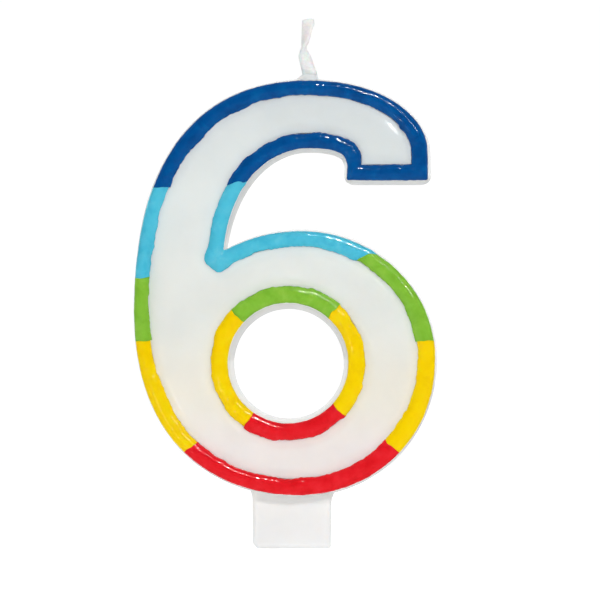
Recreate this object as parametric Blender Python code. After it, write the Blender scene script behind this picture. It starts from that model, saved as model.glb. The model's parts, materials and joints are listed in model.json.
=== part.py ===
"""Number birthday candle: a moulded wax digit 6 with a tab, a wick and a raised outline of coloured wax.

The frame's origin is the centre of the tab's end, +Z runs up through the digit to the wick, and the
digit's face looks along -Y, so it reads the right way round with +X to the right.
"""

import math

import bmesh
import bpy
from mathutils import Matrix, Vector
from mathutils.geometry import interpolate_bezier

MM = 0.001
GAP = 0.3 * MM

# Depth, along Y.
TAB_THICKNESS = 5.5 * MM
DIGIT_THICKNESS = 7.8 * MM
PILLOW_HEIGHT = 0.5 * MM
PILLOW_EDGE = 0.5 * MM
BEAD_HEIGHT = 1.05 * MM
BACK_Y = TAB_THICKNESS / 2
FACE_Y = BACK_Y - DIGIT_THICKNESS
WICK_Y = -1.2 * MM

# The mould's walls lean outwards towards the back, and the back corner is rounded.
DRAFT = 0.7 * MM
BACK_ROUND = 1.0 * MM

# The digit's front outline in millimetres of X and Z, anticlockwise from the hook's lower right
# corner. Each Bezier stretch is (first handle, second handle, end, segments, what it is).
OUTLINE_START = (23.7, 64.6)
OUTLINE = (
    ((23.7, 66.0), (23.5, 68.0), (23.5, 69.6), 1, "right side of the hook"),
    ((23.5, 74.8), (16.8, 81.9), (2.9, 81.9), 14, "shoulder"),
    ((-20.0, 81.9), (-27.6, 63.3), (-27.6, 41.5), 24, "crown and outer stem"),
    ((-27.6, 18.2), (-13.2, 9.4), (1.0, 9.4), 22, "bowl, lower left"),
    ((15.2, 9.4), (25.0, 20.3), (25.0, 33.3), 16, "bowl, lower right"),
    ((25.0, 45.7), (14.0, 55.5), (1.7, 55.5), 16, "bowl, upper right"),
    ((-4.5, 55.5), (-8.3, 53.8), (-11.7, 52.25), 7, "bowl, upper left"),
    ((-12.0, 52.1), (-12.1, 52.4), (-12.0, 52.9), 3, "notch"),
    ((-10.5, 65.2), (-3.1, 70.3), (2.6, 70.3), 14, "inner stem"),
    ((7.6, 70.3), (9.4, 69.2), (9.6, 67.9), 4, "inner end of the hook"),
    ((9.6, 66.8), (9.6, 65.7), (9.6, 64.6), 1, "left side of the hook"),
    ((14.3, 64.6), (19.0, 64.6), (23.7, 64.6), 3, "end of the hook"),
)

# Where the bowl and the stem meet, the raised outline is blunt towards the face: its inner corners.
NOTCH_FACE = ((-13.1, 48.4), (-14.2, 49.1), (-15.2, 50.0))

# The raised outline, and where its colours change: the nearest points on its outer and inner edge.
# It widens towards the digit's lower right, by so much for each unit of X and Z.
BEAD_WIDTH = 2.8 * MM
BEAD_WIDENING = Vector((0.01, -0.006))
BEAD_MIDDLE = Vector((0, 45)) * MM
BREAKS = {
    "outer_blue": ((-24.3, 63.2), (-21.8, 63.4)),
    "outer_green": ((-27.5, 47.5), (-24.9, 47.5)),
    "left_yellow": ((-27.4, 36.3), (-24.8, 36.3)),
    "left_red": ((-18.7, 17.2), (-16.6, 18.7)),
    "right_red": ((18.4, 17.1), (16.7, 18.7)),
    "right_yellow": ((24.8, 36.3), (21.8, 36.3)),
    "right_green": ((14.6, 51.3), (11.7, 51.3)),
    "inner_blue": ((-7.8, 64.3), (-11.2, 63.6)),
}
OUTLINE_RUNS = (
    ("outline_blue", "dark_blue", "inner_blue", "outer_blue"),
    ("outline_light_blue_stem", "light_blue", "outer_blue", "outer_green"),
    ("outline_green_left", "green", "outer_green", "left_yellow"),
    ("outline_yellow_left", "yellow", "left_yellow", "left_red"),
    ("outline_red", "red", "left_red", "right_red"),
    ("outline_yellow_right", "yellow", "right_red", "right_yellow"),
    ("outline_green_right", "green", "right_yellow", "right_green"),
    ("outline_light_blue_bowl", "light_blue", "right_green", "inner_blue"),
)

# The counter, the digit's round hole, and its own raised ring in four colours.
COUNTER = (-0.7 * MM, 32.45 * MM)
RING_OUTER = 13.65 * MM
RING_INNER = 10.5 * MM
COUNTER_BACK = 9.65 * MM
RING_STEP = math.radians(7.5)
RING_RUNS = (
    ("counter_green", "green", 48, 137),
    ("counter_yellow_left", "yellow", 137, 236),
    ("counter_red", "red", 236, 318),
    ("counter_yellow_right", "yellow", 318, 408),
)

# The tab, in millimetres of X and Z from its end up into the bowl.
TAB_START = (-6.1, 0.0)
TAB_OUTLINE = (
    ((-2.0, 0.0), (2.0, 0.0), (6.8, 0.0), 1, "end"),
    ((6.8, 2.0), (6.8, 5.0), (6.8, 7.3), 1, "right side"),
    ((6.8, 9.3), (7.8, 10.3), (9.9, 11.2), 4, "right fillet"),
    ((9.0, 12.5), (7.0, 14.0), (5.0, 14.0), 1, "right root"),
    ((2.0, 14.0), (-2.0, 14.0), (-5.0, 14.0), 1, "root"),
    ((-7.0, 14.0), (-8.5, 12.5), (-8.6, 11.1), 1, "left root"),
    ((-7.4, 10.1), (-6.8, 9.6), (-6.8, 8.6), 3, "left fillet"),
    ((-6.8, 5.0), (-6.8, 2.0), (-6.8, 0.9), 1, "left side"),
    ((-6.6, 0.6), (-6.3, 0.3), (-6.1, 0.0), 1, "chamfer"),
)
TAB_EDGE = 0.9 * MM

# The wick: a flat braid, held in a blind bore, with a collar of wax where it comes out.
WICK_X = 2.9 * MM
CORE_HALF_WIDTH = 1.2 * MM
CORE_HALF_THICKNESS = 0.7 * MM
BORE_BOTTOM = 73 * MM
COLLAR_BASE = 81.2 * MM
COLLAR_TOP = 82.7 * MM
COLLAR_BASE_RADIUS = 2.6 * MM
COLLAR_TOP_RADIUS = 1.9 * MM
COLLAR_DEPTH_RATIO = 0.75
PIVOT_Z = 83.2 * MM
KNUCKLE = 0.7 * MM

# Sections of the free wick in millimetres: height, centre X, half width, half thickness, and how far
# the braid has turned, in degrees.
WICK_SECTIONS = (
    (82.55, 2.9, 0.30, 0.30, 0),
    (82.80, 2.9, 0.57, 0.57, 0),
    (83.20, 2.9, 0.70, 0.70, 0),
    (83.80, 2.9, 1.15, 0.62, 0),
    (84.80, 2.6, 1.15, 0.60, 5),
    (86.20, 2.15, 1.08, 0.55, 30),
    (87.00, 2.0, 1.05, 0.52, 62),
    (87.80, 1.97, 1.05, 0.50, 90),
    (88.80, 2.2, 1.05, 0.50, 112),
    (90.20, 2.5, 1.05, 0.50, 138),
    (91.60, 2.75, 1.05, 0.48, 158),
    (92.65, 2.9, 1.08, 0.45, 172),
)
WICK_SIDES = 12
WICK_CUT_RISE = 0.25 * MM
BEAD_ARCH = 6
EVENING_ROUNDS = 30
SMOOTH_UNDER = math.radians(35)

# Linear colour, roughness and subsurface weight of each material.
MATERIALS = {
    "white_wax": ((0.83, 0.85, 0.82), 0.38, 0.3),
    "dark_blue": ((0.004, 0.108, 0.334), 0.25, 0.05),
    "light_blue": ((0.088, 0.554, 0.735), 0.25, 0.05),
    "green": ((0.245, 0.549, 0.056), 0.25, 0.05),
    "yellow": ((0.97, 0.675, 0.004), 0.25, 0.05),
    "red": ((0.83, 0.015, 0.024), 0.25, 0.05),
    "wick_cotton": ((0.78, 0.78, 0.76), 0.75, 0.1),
}


def clear_scene():
    """Remove what the startup file holds."""
    for obj in list(bpy.data.objects):
        bpy.data.objects.remove(obj, do_unlink=True)
    for collection in list(bpy.data.collections):
        bpy.data.collections.remove(collection)


def collection(name):
    """A new collection of the scene."""
    made = bpy.data.collections.new(name)
    bpy.context.scene.collection.children.link(made)
    return made


def wax_material(name):
    """A plain Principled material from the table of colours."""
    color, roughness, subsurface = MATERIALS[name]
    material = bpy.data.materials.new(name)
    material.use_nodes = True
    shader = material.node_tree.nodes["Principled BSDF"]
    shader.inputs["Base Color"].default_value = (*color, 1)
    shader.inputs["Roughness"].default_value = roughness
    shader.inputs["Metallic"].default_value = 0
    shader.inputs["Subsurface Weight"].default_value = subsurface
    shader.inputs["Subsurface Scale"].default_value = MM
    material.diffuse_color = (*color, 1)
    return material


def outline_points(start, stretches):
    """Points round a closed outline of Bezier stretches, in metres."""
    points = []
    corner = Vector(start)
    for first, second, end, segments, _ in stretches:
        points += interpolate_bezier(corner, Vector(first), Vector(second), Vector(end), segments + 1)[:-1]
        corner = Vector(end)
    return [point * MM for point in points]


def inset(points, distance):
    """The closed outline moved into its own area, mitred at the corners.

    distance may be one number or one for each point, and below zero it moves the outline outwards.
    Where a tight corner folds the moved line back over itself, its points are evened out again.
    """
    distances = distance if isinstance(distance, list) else [distance] * len(points)
    moved = []
    for i, point in enumerate(points):
        before = (point - points[i - 1]).normalized()
        after = (points[(i + 1) % len(points)] - point).normalized()
        normal = Vector((-before.y - after.y, before.x + after.x))
        moved.append(point + normal * distances[i] / (1 + before.dot(after)))
    folded = set()
    for i in range(len(points)):
        if (points[i] - points[i - 1]).dot(moved[i] - moved[i - 1]) < 0:
            folded |= {i - 1, i}
    for _ in range(EVENING_ROUNDS if folded else 0):
        for i in folded:
            moved[i] = (moved[i - 1] + moved[(i + 1) % len(moved)]) / 2
    return moved


def face_outline(outline):
    """The inner edge of the raised outline."""
    inner = inset(outline, [BEAD_WIDTH + BEAD_WIDENING.dot(point - BEAD_MIDDLE) for point in outline])
    names = [stretch[-1] for stretch in OUTLINE]
    first = sum(stretch[3] for stretch in OUTLINE[: names.index("notch")])
    inner[first : first + len(NOTCH_FACE)] = [Vector(corner) * MM for corner in NOTCH_FACE]
    return inner


def at_depth(points, y):
    """Points of an X, Z outline placed at one depth."""
    return [Vector((point.x, y, point.y)) for point in points]


def skin(rings):
    """A closed bmesh stretched over rings of equal length, with a flat end at each end."""
    made = bmesh.new()
    loops = [[made.verts.new(point) for point in ring] for ring in rings]
    for near, far in zip(loops, loops[1:]):
        for i in range(len(near)):
            made.faces.new((near[i - 1], near[i], far[i], far[i - 1]))
    made.faces.new(loops[0])
    made.faces.new(loops[-1])
    bmesh.ops.recalc_face_normals(made, faces=made.faces)
    return made


def add_object(name, made, where, material=None, origin=(0, 0, 0)):
    """An object from a bmesh in world coordinates, smooth where its faces meet at a low angle."""
    origin = Vector(origin)
    bmesh.ops.translate(made, verts=made.verts, vec=-origin)
    mesh = bpy.data.meshes.new(name)
    made.to_mesh(mesh)
    made.free()
    mesh.shade_smooth()
    mesh.set_sharp_from_angle(angle=SMOOTH_UNDER)
    if material:
        mesh.materials.append(material)
    obj = bpy.data.objects.new(name, mesh)
    obj.location = origin
    where.objects.link(obj)
    return obj


def add_helper(name, made, where):
    """A solid that only joins or cuts another."""
    helper = add_object(name, made, where)
    helper.hide_render = True
    helper.display_type = "WIRE"
    return helper


def add_boolean(obj, helper, operation):
    """Join or cut with the exact solver."""
    modifier = obj.modifiers.new(helper.name, "BOOLEAN")
    modifier.object = helper
    modifier.operation = operation
    modifier.solver = "EXACT"


def frustum(bottom, top, bottom_radius, top_radius, ratio):
    """An upright cone on the wick's line, with its depth along Y narrowed by ratio."""
    made = bmesh.new()
    bmesh.ops.create_cone(
        made,
        cap_ends=True,
        segments=24,
        radius1=bottom_radius,
        radius2=top_radius,
        depth=top - bottom,
        matrix=Matrix.Translation((WICK_X, WICK_Y, (bottom + top) / 2)) @ Matrix.Diagonal((1, ratio, 1, 1)),
    )
    return made


def counter_cutter(where):
    """The seat of the counter's ring and the through hole, turned about the hole's axis.

    The hole narrows towards the back and flares again at the back edge.
    """
    front = FACE_Y - 2 * PILLOW_HEIGHT
    seat = RING_OUTER + GAP
    flare = COUNTER_BACK + BACK_ROUND * 0.8
    profile = (
        (0, front),
        (seat + PILLOW_EDGE, front),
        (seat + PILLOW_EDGE, FACE_Y - PILLOW_HEIGHT),
        (seat, FACE_Y - PILLOW_HEIGHT / 3),
        (seat, FACE_Y),
        (RING_INNER, FACE_Y),
        (COUNTER_BACK, BACK_Y - BACK_ROUND),
        (COUNTER_BACK + BACK_ROUND * 0.25, BACK_Y - BACK_ROUND * 0.3),
        (flare, BACK_Y),
        (flare, BACK_Y + 1 * MM),
        (0, BACK_Y + 1 * MM),
    )
    made = bmesh.new()
    verts = [made.verts.new((radius, y, 0)) for radius, y in profile]
    edges = [made.edges.new(pair) for pair in zip(verts, verts[1:])]
    steps = round(math.tau / RING_STEP)
    bmesh.ops.spin(
        made, geom=verts + edges, cent=(0, 0, 0), axis=(0, 1, 0), angle=math.tau, steps=steps
    )
    bmesh.ops.remove_doubles(made, verts=made.verts, dist=1e-6)
    bmesh.ops.recalc_face_normals(made, faces=made.faces)
    bmesh.ops.translate(made, verts=made.verts, vec=(COUNTER[0], 0, COUNTER[1]))
    return add_helper("cut_counter", made, where)


def pillow(inner, where):
    """The white face, raised a little inside the coloured outline with a sloping edge."""
    depths = (
        (FACE_Y + PILLOW_HEIGHT, GAP),
        (FACE_Y - PILLOW_HEIGHT / 3, GAP),
        (FACE_Y - PILLOW_HEIGHT, GAP + PILLOW_EDGE),
    )
    rings = [at_depth(inset(inner, cut), y) for y, cut in depths]
    return add_helper("join_pillow", skin(rings), where)


def tab(where):
    """The flat tab that goes into the cake, with its edges rounded and fillets up into the bowl."""
    outline = outline_points(TAB_START, TAB_OUTLINE)
    depths = (
        (-BACK_Y, TAB_EDGE),
        (-BACK_Y + TAB_EDGE * 0.3, TAB_EDGE * 0.35),
        (-BACK_Y + TAB_EDGE, 0),
        (BACK_Y - TAB_EDGE / 2, 0),
        (BACK_Y, TAB_EDGE / 2),
    )
    return add_helper("join_tab", skin([at_depth(inset(outline, cut), y) for y, cut in depths]), where)


def wax_body(outline, inner, parts, helpers):
    """The one white casting: digit, pillowed face, tab, collar, counter hole and wick bore."""
    depths = (
        (FACE_Y, 0),
        (BACK_Y - BACK_ROUND, -DRAFT),
        (BACK_Y - BACK_ROUND * 0.3, -DRAFT + BACK_ROUND * 0.3),
        (BACK_Y, BACK_ROUND - DRAFT),
    )
    rings = [at_depth(inset(outline, cut), y) for y, cut in depths]
    body = add_object("wax_body", skin(rings), parts, wax_material("white_wax"))
    collar = frustum(COLLAR_BASE, COLLAR_TOP, COLLAR_BASE_RADIUS, COLLAR_TOP_RADIUS, COLLAR_DEPTH_RATIO)
    bore_radius = CORE_HALF_WIDTH + GAP
    bore_ratio = (CORE_HALF_THICKNESS + GAP) / bore_radius
    bore = frustum(BORE_BOTTOM, COLLAR_TOP + 1 * MM, bore_radius, bore_radius, bore_ratio)
    add_boolean(body, pillow(inner, helpers), "UNION")
    add_boolean(body, tab(helpers), "UNION")
    add_boolean(body, add_helper("join_collar", collar, helpers), "UNION")
    add_boolean(body, counter_cutter(helpers), "DIFFERENCE")
    add_boolean(body, add_helper("cut_bore", bore, helpers), "DIFFERENCE")


def bead_ring(outer, inner):
    """One domed section of the raised outline, from its outer to its inner edge."""
    base = FACE_Y - GAP
    ring = []
    for i in range(BEAD_ARCH + 1):
        turn = math.pi * i / BEAD_ARCH
        point = outer.lerp(inner, (1 - math.cos(turn)) / 2)
        ring.append(Vector((point.x, base - BEAD_HEIGHT * abs(math.sin(turn)) ** 0.7, point.y)))
    return ring


def arc_lengths(points):
    """How far along a closed line each of its points is, ending with its whole length."""
    lengths = [0.0]
    for i, point in enumerate(points):
        lengths.append(lengths[-1] + (points[(i + 1) % len(points)] - point).length)
    return lengths


def nearest_length(points, lengths, target):
    """How far along a closed line the place nearest to target is."""
    best = None
    for i, point in enumerate(points):
        along = points[(i + 1) % len(points)] - point
        share = max(0.0, min(1.0, (target - point).dot(along) / along.length_squared))
        gap = (target - point - along * share).length
        if best is None or gap < best[0]:
            best = (gap, lengths[i] + along.length * share)
    return best[1]


def point_at(points, lengths, length):
    """The point that far along a closed line."""
    length %= lengths[-1]
    i = max(k for k in range(len(points)) if lengths[k] <= length)
    share = (length - lengths[i]) / (lengths[i + 1] - lengths[i])
    return points[i].lerp(points[(i + 1) % len(points)], share)


def outline_beads(outer, inner, parts):
    """The raised outline, a closed line of eight coloured runs."""
    outer_lengths = arc_lengths(outer)
    inner_lengths = arc_lengths(inner)

    def cut_section(outer_length, inner_length):
        return bead_ring(
            point_at(outer, outer_lengths, outer_length), point_at(inner, inner_lengths, inner_length)
        )

    ends = {}
    for name, (outside, inside) in BREAKS.items():
        ends[name] = (
            nearest_length(outer, outer_lengths, Vector(outside) * MM),
            nearest_length(inner, inner_lengths, Vector(inside) * MM),
        )
    for name, color, first, last in OUTLINE_RUNS:
        outer_start = ends[first][0] + GAP / 2
        inner_start = ends[first][1] + GAP / 2
        outer_span = (ends[last][0] - GAP / 2 - outer_start) % outer_lengths[-1]
        inner_span = (ends[last][1] - GAP / 2 - inner_start) % inner_lengths[-1]
        between = []
        for i, point in enumerate(outer):
            past_outer = (outer_lengths[i] - outer_start) % outer_lengths[-1]
            past_inner = (inner_lengths[i] - inner_start) % inner_lengths[-1]
            if GAP < past_outer < outer_span - GAP and GAP < past_inner < inner_span - GAP:
                between.append((past_outer, bead_ring(point, inner[i])))
        rings = [cut_section(outer_start, inner_start)]
        rings += [ring for _, ring in sorted(between, key=lambda row: row[0])]
        rings.append(cut_section(outer_start + outer_span, inner_start + inner_span))
        add_object(name, skin(rings), parts, COLORS[color])


def counter_beads(parts):
    """The raised ring round the counter, in four coloured runs."""
    centre = Vector(COUNTER)
    half_gap = GAP / 2 / RING_INNER
    for name, color, first, last in RING_RUNS:
        start = math.radians(first) + half_gap
        span = math.radians(last) - half_gap - start
        count = round(span / RING_STEP)
        rings = []
        for i in range(count + 1):
            turn = start + span * i / count
            spoke = Vector((math.cos(turn), math.sin(turn)))
            rings.append(bead_ring(centre + spoke * RING_INNER, centre + spoke * RING_OUTER))
        add_object(name, skin(rings), parts, COLORS[color])


def oval(x, z, half_width, half_thickness, turn, rise=0):
    """A flat section of the wick, turned about its own line, and higher on its right side by rise."""
    ring = []
    for i in range(WICK_SIDES):
        angle = math.tau * i / WICK_SIDES
        across = half_width * math.cos(angle)
        depth = half_thickness * math.sin(angle)
        side = across * math.cos(turn) - depth * math.sin(turn)
        front = across * math.sin(turn) + depth * math.cos(turn)
        ring.append(Vector((x + side, WICK_Y + front, z + rise * side / half_width)))
    return ring


def wick(parts):
    """The wick's held length in the bore, and its free length, which bends just above the collar."""
    cotton = wax_material("wick_cotton")
    core_top = PIVOT_Z - KNUCKLE - GAP
    core_rings = [
        oval(WICK_X, z, CORE_HALF_WIDTH, CORE_HALF_THICKNESS, 0) for z in (BORE_BOTTOM + GAP, core_top)
    ]
    add_object("wick_core", skin(core_rings), parts, cotton)
    rings = []
    for z, x, half_width, half_thickness, turn in WICK_SECTIONS:
        rings.append(oval(x * MM, z * MM, half_width * MM, half_thickness * MM, math.radians(turn)))
    _, x, half_width, half_thickness, turn = WICK_SECTIONS[-1]
    tip_z = WICK_SECTIONS[-1][0] * MM + WICK_CUT_RISE
    rings.append(
        oval(x * MM, tip_z, half_width * MM, half_thickness * MM, math.radians(turn), WICK_CUT_RISE)
    )
    add_object("wick_free_end", skin(rings), parts, cotton, origin=(WICK_X, WICK_Y, PIVOT_Z))


clear_scene()
COLORS = {name: wax_material(name) for name in ("dark_blue", "light_blue", "green", "yellow", "red")}
candle = collection("number_candle")
cutters = collection("cutters")
digit = outline_points(OUTLINE_START, OUTLINE)
face = face_outline(digit)
wax_body(digit, face, candle, cutters)
outline_beads(digit, face, candle)
counter_beads(candle)
wick(candle)
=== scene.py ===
"""Looks for the number birthday candle: the digit 6 in white wax with a raised outline of coloured wax.

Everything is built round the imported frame. The outline, the counter and the places where the colours
change are read from the frame's solids, and the lengths below are what the frame doesn't hold.
"""

import json
import math

import bmesh
import bpy
import numpy as np
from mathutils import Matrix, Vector, noise
from mathutils.geometry import delaunay_2d_cdt
from mathutils.kdtree import KDTree

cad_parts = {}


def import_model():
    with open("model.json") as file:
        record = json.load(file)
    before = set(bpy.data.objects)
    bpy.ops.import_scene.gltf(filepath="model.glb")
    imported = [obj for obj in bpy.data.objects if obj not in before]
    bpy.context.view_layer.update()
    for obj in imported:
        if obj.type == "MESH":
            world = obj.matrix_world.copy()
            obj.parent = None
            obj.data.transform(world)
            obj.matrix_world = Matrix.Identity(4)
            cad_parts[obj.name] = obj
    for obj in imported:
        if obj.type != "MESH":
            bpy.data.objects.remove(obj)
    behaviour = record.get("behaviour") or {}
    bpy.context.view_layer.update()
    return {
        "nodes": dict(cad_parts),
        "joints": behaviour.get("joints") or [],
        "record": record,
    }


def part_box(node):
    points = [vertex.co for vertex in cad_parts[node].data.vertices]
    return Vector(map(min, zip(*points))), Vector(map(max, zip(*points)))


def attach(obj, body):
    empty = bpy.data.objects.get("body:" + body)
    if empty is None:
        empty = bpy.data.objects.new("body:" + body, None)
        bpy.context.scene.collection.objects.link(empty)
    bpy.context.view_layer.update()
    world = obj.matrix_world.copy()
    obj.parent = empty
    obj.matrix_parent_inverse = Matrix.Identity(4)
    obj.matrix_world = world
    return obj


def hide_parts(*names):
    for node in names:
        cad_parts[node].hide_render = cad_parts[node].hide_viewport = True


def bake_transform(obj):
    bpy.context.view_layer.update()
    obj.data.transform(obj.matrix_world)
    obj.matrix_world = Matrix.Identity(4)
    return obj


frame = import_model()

MM = 0.001
GAP = 0.3 * MM

# The frame's measures.
BODY_LOW, BODY_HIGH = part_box("wax_body")
SEAT_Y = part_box("outline_red")[1].y + GAP
BACK_Y = BODY_HIGH.y
BEND = next(joint for joint in frame["joints"] if joint["name"] == "wick_bend")
PIVOT = Vector(BEND["pos_m"])

# Shape of the casting.
WAX_HEIGHT = 82 * MM
STATION = 0.3 * MM
# The wall leans out by the second row of lengths, at the heights in the first.
DRAFT = ((46 * MM, 62 * MM), (0.38 * MM, 0.7 * MM))
BACK_ROUND = 1.0 * MM
WALL_START, WALL_END = SEAT_Y - 0.14 * MM, BACK_Y - BACK_ROUND
UNDER_BEAD = 0.25 * MM
# The rounded ledge outside the raised outline: how far in from the wall, and its depth from the seat.
LEDGE = ((0.11 * MM, -0.24 * MM), (0.04 * MM, -0.22 * MM))
PILLOW_HEIGHT = 0.55 * MM
EDGE_RISE = 0.15 * MM
PILLOW_SHOULDER = 1.1 * MM
BACK_SINK = 0.28 * MM
COUNTER_DRAFT = 0.85 * MM
COUNTER_SIDES = 240
FACE_HOLE_INSET = 0.15 * MM
FACE_PITCH, BACK_PITCH = 1.1 * MM, 1.4 * MM
FACE_STEPS = tuple(step * MM for step in (0.15, 0.32, 0.5, 0.7, 0.92, 1.17, 1.45, 1.8, 2.2))
BACK_STEPS = tuple(step * MM for step in (0.35, 0.8, 1.4, 2.1))
CORNER_TURN = math.radians(75)
CORNER_SOFT = 2 * MM

# Shape of the coloured outline.
BEAD_HEIGHT = 1.12 * MM
BEAD_ARCH = 22
BEAD_STATION = 0.25 * MM
OUTWARD = 0.1 * MM
OVERLAP = 0.03 * MM
FOOT_DEPTH = 0.18 * MM
JOINT_REACH = 1.1 * MM
STEP_LENGTH = 3.1 * MM
STEP_HEIGHT = 0.17 * MM
RIPPLE_LENGTH = 0.85 * MM
RIPPLE_HEIGHT = 0.02 * MM
SWELL_REACH = 5 * MM
# Layers of unevenness: how high, how long the waves are, both in millimetres, and a seed.
FACE_WAVES = ((0.035, 7, 3.0), (0.012, 2.5, 8.0))
NICKS = ((0.035, 2.4, 1.0), (0.03, 0.7, 5.0))
RAGGED = ((0.08, 2.3, 2.0), (0.075, 0.75, 4.0), (0.03, 0.35, 6.0))
LUMPS = ((0.045, 1.7, 11.0), (0.02, 0.7, 12.0))
# Where the hand-run outline strays: X, Z, reach, and how far its outer edge goes out and its inner
# edge goes in, all in millimetres.
STRAYS = (
    (-13.5, 74.0, 9.0, 0.00, 0.45),
    (-22.0, 25.0, 9.0, 0.00, 0.32),
    (-27.0, 60.0, 8.0, 0.06, 0.05),
    (21.5, 72.0, 8.0, 0.20, -0.20),
    (16.0, 65.5, 6.0, 0.00, -0.30),
    (1.0, 70.5, 7.0, 0.20, -0.10),
    (20.0, 22.0, 8.0, 0.12, 0.00),
)
# How much wider, in millimetres, each run is at its start and at its end.
SWELLS = {
    "outline_blue": (0.05, 0.28),
    "outline_light_blue_stem": (-0.08, 0.05),
    "outline_green_left": (-0.05, 0.1),
    "outline_yellow_left": (-0.08, 0.06),
    "outline_red": (-0.06, 0.08),
    "outline_yellow_right": (0.06, -0.05),
    "outline_green_right": (0.05, 0.1),
    "outline_light_blue_bowl": (-0.1, -0.05),
    "counter_green": (0.08, 0.05),
    "counter_red": (0.1, 0.08),
}

# Shape of the tab. A flare is its end in X, where it starts in Z and where it ends.
TAB_HALF_WIDTH = 6.8 * MM
TAB_ROOT = 14 * MM
TAB_EDGE = 0.9 * MM
TAB_CHAMFER = 0.8 * MM
TAB_CORNER = 0.25 * MM
TAB_STEP = 0.35 * MM
TAB_SHIFT = 0.15 * MM
TAB_PITCH = 0.7 * MM
TAB_FLARES = ((-8.7 * MM, 8.3 * MM, 11.3 * MM), (9.9 * MM, 7.1 * MM, 11.5 * MM))
# Where the tab's back starts to dive into the digit, over what height, and how deep it goes.
DIVE_START, DIVE_HEIGHT, DIVE_DEPTH = 10.6 * MM, 1.6 * MM, 0.4 * MM

# The collar of wax in millimetres: height, reach to the left and to the right, and half depth.
COLLAR_RINGS = (
    (81.0, 2.5, 2.1, 1.7),
    (81.7, 2.3, 1.95, 1.6),
    (82.5, 2.15, 1.75, 1.5),
    (82.85, 1.7, 1.6, 1.3),
    (83.15, 1.3, 1.42, 1.1),
    (83.3, 1.0, 1.2, 0.85),
)
COLLAR_ROWS = 24
COLLAR_SIDES = 64

# The wick in millimetres: height, centre in X, half width, half thickness, and how far the flat braid
# has turned, in degrees.
WICK_SECTIONS = (
    (74.0, 2.9, 1.10, 0.55, 0),
    (81.5, 2.95, 1.15, 0.58, 0),
    (82.85, 3.12, 1.38, 0.60, 0),
    (83.65, 2.98, 1.36, 0.60, 0),
    (84.55, 2.68, 1.26, 0.58, 4),
    (85.55, 2.36, 1.18, 0.55, 12),
    (86.45, 2.14, 1.18, 0.50, 24),
    (87.15, 2.03, 1.05, 0.47, 52),
    (87.95, 1.98, 1.05, 0.47, 88),
    (88.85, 2.22, 1.05, 0.46, 118),
    (90.45, 2.45, 1.05, 0.44, 138),
    (91.75, 2.66, 1.06, 0.42, 160),
    (92.4, 2.75, 1.10, 0.40, 170),
    (93.0, 2.76, 1.10, 0.38, 176),
)
# Heights of the cut end across the braid, and where the rows below start to follow it.
WICK_CUT = ((-1.0, 92.7), (-0.8, 92.85), (0.0, 93.0), (0.6, 93.06), (0.8, 93.0), (1.0, 92.2))
WICK_CUT_START = 91
WICK_SIDES = 44
WICK_STEP = 0.09
WICK_BLUR = 9
STITCH = 0.78
FUZZ = 0.035
# Where the wick's bend starts and ends, above its hinge.
BEND_SPAN = (-0.5 * MM, 0.9 * MM)

# The view and the light.
TARGET = Vector((1.4 * MM, SEAT_Y, 43.5 * MM))
DISTANCE = 1.167
AZIMUTH, ELEVATION = math.radians(1.3), math.radians(-1.4)
FLOOR_SEEN, FLOOR_SHED = 0.82, (0.52, 0.3)
FLOOR_FADE = (30 * MM, 120 * MM)
ROOM_SEEN, ROOM_SHED = 1.02, (0.16, 1.0)
# Each lamp's direction from the candle, distance, size, watts, and whether it only shows as a glint.
LAMPS = {
    "key": ((0.44, -1, 0.54), 0.7, (0.08, 0.08), 1.35, False),
    "overhead": ((0.1, -1, 0.66), 0.7, (0.08, 0.05), 0.55, False),
    "fill": ((-0.7, -1, 0.0), 0.8, (0.5, 0.5), 1.6, False),
    "window": ((0.44, -1, 0.54), 0.7, (0.05, 0.05), 3.2, True),
    "low_window": ((-0.5, -1, -0.27), 0.16, (0.01, 0.01), 0.025, True),
    "bulb": ((0.28, -1, 0.9), 0.7, (0.05, 0.03), 10.0, True),
}

COLORS = {
    "dark_blue_wax": ((0.0, 0.083, 0.308), (0.0, 0.108, 0.355), (0.0, 0.068, 0.262)),
    "light_blue_wax": ((0.085, 0.56, 0.75), (0.12, 0.60, 0.77), (0.065, 0.51, 0.71)),
    "green_wax": ((0.245, 0.549, 0.045), (0.29, 0.59, 0.06), (0.215, 0.50, 0.035)),
    "yellow_wax": ((1.0, 0.68, 0.0), (1.0, 0.72, 0.002), (0.97, 0.64, 0.0)),
    "red_wax": ((0.83, 0.012, 0.02), (0.87, 0.02, 0.03), (0.76, 0.008, 0.014)),
}


# ---------------------------------------------------------------- reading the frame

def flat_loops(node, y, tolerance=0.02 * MM):
    """The closed edges of the node's flat faces at depth y, largest area first, anticlockwise in X and Z."""
    mesh = node.data
    key = {}
    where = []
    merged = []
    for vertex in mesh.vertices:
        spot = tuple(round(c / (0.002 * MM)) for c in vertex.co)
        if spot not in key:
            key[spot] = len(where)
            where.append(vertex.co.copy())
        merged.append(key[spot])
    after = {}
    directed = set()
    for polygon in mesh.polygons:
        corners = [merged[i] for i in polygon.vertices]
        if all(abs(where[i].y - y) < tolerance for i in corners):
            directed |= {(a, b) for a, b in zip(corners, corners[1:] + corners[:1])}
    for a, b in directed:
        if (b, a) not in directed:
            after[a] = b
    loops = []
    while after:
        start, step = after.popitem()
        loop = [start]
        while step != start:
            loop.append(step)
            step = after.pop(step)
        points = np.array([(where[i].x, where[i].z) for i in loop])
        loops.append(points if shoelace(points) > 0 else points[::-1])
    return sorted(loops, key=shoelace, reverse=True)


def shoelace(points):
    """Signed area of a closed line."""
    x, z = points.T
    return 0.5 * float(np.sum(x * np.roll(z, -1) - np.roll(x, -1) * z))


def misfit(points, partner):
    """How far partner is from points, turned round to where it fits best, and that turn."""
    return min((np.sum((np.roll(partner, -k, axis=0) - points) ** 2), k) for k in range(len(points)))


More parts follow.
